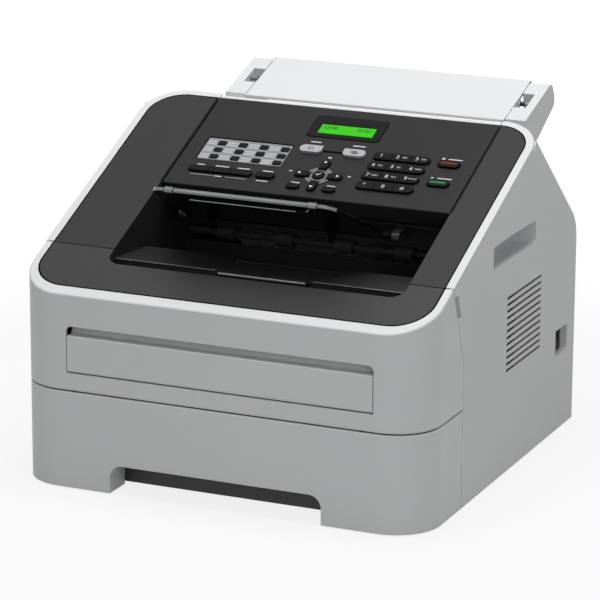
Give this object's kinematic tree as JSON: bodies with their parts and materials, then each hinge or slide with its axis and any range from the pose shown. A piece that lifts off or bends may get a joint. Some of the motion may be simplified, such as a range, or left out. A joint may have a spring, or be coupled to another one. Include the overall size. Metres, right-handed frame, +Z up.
{
  "type": "fax machine",
  "caption": "Desktop laser fax machine with sloping control panel, paper tray, opening covers, document flap, raised output support and pressing keys.",
  "frame": {"origin": "middle of the base on the table, under the centre of the body", "axes": "+X to the right as seen by the user, +Y to the back, +Z up"},
  "size_m": [0.368, 0.36, 0.3087],
  "materials": {
    "light_grey_plastic": "fine satin grain",
    "dark_grey_plastic": "fine satin grain",
    "black_gloss_plastic": "smooth gloss",
    "black_plastic": "satin",
    "black_key": "satin gloss",
    "silver_key": "silver paint",
    "window_plastic": "clear gloss over black",
    "display_green": "backlit green",
    "frame_plastic": "satin",
    "steel": "bright",
    "pressed_steel": "zinc grey",
    "aluminium": "drawn",
    "rubber": "matt",
    "silicone_rubber": "matt",
    "circuit_board": "solder resist",
    "drum_blue": "satin"
  },
  "bodies": {
    "chassis": {"base_frame": "frame_plastic", "left_side_cover": "light_grey_plastic", "right_side_cover": "light_grey_plastic", "top_cover": "dark_grey_plastic", "rear_cover": "light_grey_plastic", "document_guide": "black_plastic", "document_ears": "light_grey_plastic", "feet": "rubber", "power_inlet": "black_plastic", "line_jacks": "black_plastic", "laser_unit": "black_plastic", "main_board": "circuit_board", "power_supply": "aluminium", "drive_motor": "pressed_steel", "scan_bar": "window_plastic", "drum_unit": "drum_blue", "toner_cartridge": "black_plastic", "fuser_frame": "black_plastic", "hinge_pins": "steel"},
    "front_cover": {"front_cover": "light_grey_plastic", "front_trim": "dark_grey_plastic"},
    "paper_tray": {"paper_tray": "black_plastic", "tray_front": "light_grey_plastic"},
    "control_panel": {"control_panel": "dark_grey_plastic", "panel_edge": "light_grey_plastic", "display_window": "window_plastic", "display": "display_green", "key_board": "circuit_board"},
    "manual_feed_cover": {"manual_feed_cover": "light_grey_plastic"},
    "pressure_plate": {"pressure_plate": "pressed_steel"},
    "width_guide_left": {"width_guide_left": "black_plastic"},
    "width_guide_right": {"width_guide_right": "black_plastic"},
    "length_guide": {"length_guide": "black_plastic"},
    "document_flap": {"document_flap": "light_grey_plastic"},
    "output_support": {"output_support": "black_gloss_plastic"},
    "output_extension": {"output_extension": "black_gloss_plastic"},
    "paper_stop": {"paper_stop": "black_plastic"},
    "back_cover": {"back_cover": "light_grey_plastic"},
    "power_switch": {"power_switch": "black_plastic"},
    "pickup_roller": {"pickup_roller": "rubber"},
    "eject_roller": {"eject_roller": "rubber"},
    "heat_roller": {"heat_roller": "aluminium"},
    "pressure_roller": {"pressure_roller": "silicone_rubber"},
    "document_roller": {"document_roller": "rubber"},
    "stop_key": {"stop_key": "black_key"},
    "start_key": {"start_key": "black_key"},
    "fax_mode_key": {"fax_mode_key": "silver_key"},
    "copy_mode_key": {"copy_mode_key": "silver_key"},
    "up_key": {"up_key": "black_key"},
    "down_key": {"down_key": "black_key"},
    "left_key": {"left_key": "black_key"},
    "right_key": {"right_key": "black_key"},
    "ok_key": {"ok_key": "black_key"},
    "number_keys_1_2_3": {"number_keys_1_2_3": "black_key"},
    "number_keys_4_5_6": {"number_keys_4_5_6": "black_key"},
    "number_keys_7_8_9": {"number_keys_7_8_9": "black_key"},
    "number_keys_star_0_hash": {"number_keys_star_0_hash": "black_key"},
    "function_keys": {"function_keys": "black_key"},
    "clear_and_menu_keys": {"clear_and_menu_keys": "black_key"},
    "one_touch_keys": {"one_touch_keys": "black_key"}
  },
  "joints": [
    {"name": "front_cover_hinge", "type": "hinge", "parent": "chassis", "child": "front_cover", "pos_m": [0, -0.177, 0.0886], "axis": [1, 0, 0], "range_deg": [0, 80]},
    {"name": "manual_feed_hinge", "type": "hinge", "parent": "front_cover", "child": "manual_feed_cover", "pos_m": [0, -0.1778, 0.1042], "axis": [1, 0, 0], "range_deg": [0, 85]},
    {"name": "paper_tray_slide", "type": "slide", "parent": "chassis", "child": "paper_tray", "axis": [0, -1, 0], "range_m": [0, 0.28]},
    {"name": "pressure_plate_hinge", "type": "hinge", "parent": "paper_tray", "child": "pressure_plate", "pos_m": [0, 0.02, 0.0088], "axis": [-1, 0, 0], "range_deg": [0, 8]},
    {"name": "width_guide_left_slide", "type": "slide", "parent": "paper_tray", "child": "width_guide_left", "axis": [1, 0, 0], "range_m": [0, 0.03]},
    {"name": "width_guide_right_slide", "type": "slide", "parent": "paper_tray", "child": "width_guide_right", "axis": [1, 0, 0], "range_m": [-0.03, 0]},
    {"name": "length_guide_slide", "type": "slide", "parent": "paper_tray", "child": "length_guide", "axis": [0, -1, 0], "range_m": [0, 0.05]},
    {"name": "control_panel_hinge", "type": "hinge", "parent": "chassis", "child": "control_panel", "pos_m": [0, 0.0886, 0.28065], "axis": [-1, 0, 0], "range_deg": [0, 60]},
    {"name": "document_flap_hinge", "type": "hinge", "parent": "chassis", "child": "document_flap", "pos_m": [0, 0.12981, 0.29398], "axis": [-1, 0, 0], "range_deg": [0, 110]},
    {"name": "output_support_hinge", "type": "hinge", "parent": "chassis", "child": "output_support", "pos_m": [0, -0.03, 0.207], "axis": [1, 0, 0], "range_deg": [0, 20]},
    {"name": "output_extension_hinge", "type": "hinge", "parent": "output_support", "child": "output_extension", "pos_m": [0, -0.1277, 0.25256], "axis": [1, 0, 0], "range_deg": [0, 170]},
    {"name": "paper_stop_hinge", "type": "hinge", "parent": "chassis", "child": "paper_stop", "pos_m": [0, -0.08121, 0.18301], "axis": [-1, 0, 0], "range_deg": [0, 35]},
    {"name": "back_cover_hinge", "type": "hinge", "parent": "chassis", "child": "back_cover", "pos_m": [0, 0.1775, 0.0985], "axis": [-1, 0, 0], "range_deg": [0, 85]},
    {"name": "power_switch_rocker", "type": "hinge", "parent": "chassis", "child": "power_switch", "pos_m": [0.174, 0.146, 0.0818], "axis": [0, 1, 0], "range_deg": [0, 16]},
    {"name": "pickup_roller_spin", "type": "hinge", "parent": "chassis", "child": "pickup_roller", "pos_m": [0, -0.122, 0.084], "axis": [1, 0, 0], "continuous": true},
    {"name": "eject_roller_spin", "type": "hinge", "parent": "chassis", "child": "eject_roller", "pos_m": [0, 0.027, 0.178], "axis": [1, 0, 0], "continuous": true},
    {"name": "heat_roller_spin", "type": "hinge", "parent": "chassis", "child": "heat_roller", "pos_m": [0, 0.096, 0.126], "axis": [1, 0, 0], "continuous": true},
    {"name": "pressure_roller_spin", "type": "hinge", "parent": "chassis", "child": "pressure_roller", "pos_m": [0, 0.096, 0.1037], "axis": [1, 0, 0], "continuous": true},
    {"name": "document_roller_spin", "type": "hinge", "parent": "chassis", "child": "document_roller", "pos_m": [0.0137, 0.07426, 0.25096], "axis": [1, 0, 0], "continuous": true},
    {"name": "stop_key_press", "type": "slide", "parent": "control_panel", "child": "stop_key", "axis": [0, 0.3992, -0.9169], "range_m": [0, 0.001], "stiffness_N_per_m": 400},
    {"name": "start_key_press", "type": "slide", "parent": "control_panel", "child": "start_key", "axis": [0, 0.3992, -0.9169], "range_m": [0, 0.001], "stiffness_N_per_m": 400},
    {"name": "fax_mode_key_press", "type": "slide", "parent": "control_panel", "child": "fax_mode_key", "axis": [0, 0.3992, -0.9169], "range_m": [0, 0.001], "stiffness_N_per_m": 400},
    {"name": "copy_mode_key_press", "type": "slide", "parent": "control_panel", "child": "copy_mode_key", "axis": [0, 0.3992, -0.9169], "range_m": [0, 0.001], "stiffness_N_per_m": 400},
    {"name": "up_key_press", "type": "slide", "parent": "control_panel", "child": "up_key", "axis": [0, 0.3992, -0.9169], "range_m": [0, 0.001], "stiffness_N_per_m": 400},
    {"name": "down_key_press", "type": "slide", "parent": "control_panel", "child": "down_key", "axis": [0, 0.3992, -0.9169], "range_m": [0, 0.001], "stiffness_N_per_m": 400},
    {"name": "left_key_press", "type": "slide", "parent": "control_panel", "child": "left_key", "axis": [0, 0.3992, -0.9169], "range_m": [0, 0.001], "stiffness_N_per_m": 400},
    {"name": "right_key_press", "type": "slide", "parent": "control_panel", "child": "right_key", "axis": [0, 0.3992, -0.9169], "range_m": [0, 0.001], "stiffness_N_per_m": 400},
    {"name": "ok_key_press", "type": "slide", "parent": "control_panel", "child": "ok_key", "axis": [0, 0.3992, -0.9169], "range_m": [0, 0.001], "stiffness_N_per_m": 400},
    {"name": "number_keys_1_2_3_press", "type": "slide", "parent": "control_panel", "child": "number_keys_1_2_3", "axis": [0, 0.3992, -0.9169], "range_m": [0, 0.001], "stiffness_N_per_m": 400},
    {"name": "number_keys_4_5_6_press", "type": "slide", "parent": "control_panel", "child": "number_keys_4_5_6", "axis": [0, 0.3992, -0.9169], "range_m": [0, 0.001], "stiffness_N_per_m": 400},
    {"name": "number_keys_7_8_9_press", "type": "slide", "parent": "control_panel", "child": "number_keys_7_8_9", "axis": [0, 0.3992, -0.9169], "range_m": [0, 0.001], "stiffness_N_per_m": 400},
    {"name": "number_keys_star_0_hash_press", "type": "slide", "parent": "control_panel", "child": "number_keys_star_0_hash", "axis": [0, 0.3992, -0.9169], "range_m": [0, 0.001], "stiffness_N_per_m": 400},
    {"name": "function_keys_press", "type": "slide", "parent": "control_panel", "child": "function_keys", "axis": [0, 0.3992, -0.9169], "range_m": [0, 0.001], "stiffness_N_per_m": 400},
    {"name": "clear_and_menu_keys_press", "type": "slide", "parent": "control_panel", "child": "clear_and_menu_keys", "axis": [0, 0.3992, -0.9169], "range_m": [0, 0.001], "stiffness_N_per_m": 400},
    {"name": "one_touch_keys_press", "type": "slide", "parent": "control_panel", "child": "one_touch_keys", "axis": [0, 0.3992, -0.9169], "range_m": [0, 0.001], "stiffness_N_per_m": 400}
  ],
  "couplings": [
    {"joint": "width_guide_right_slide", "follows": "width_guide_left_slide", "ratio": -1},
    {"joint": "pressure_roller_spin", "follows": "heat_roller_spin", "ratio": -1}
  ]
}
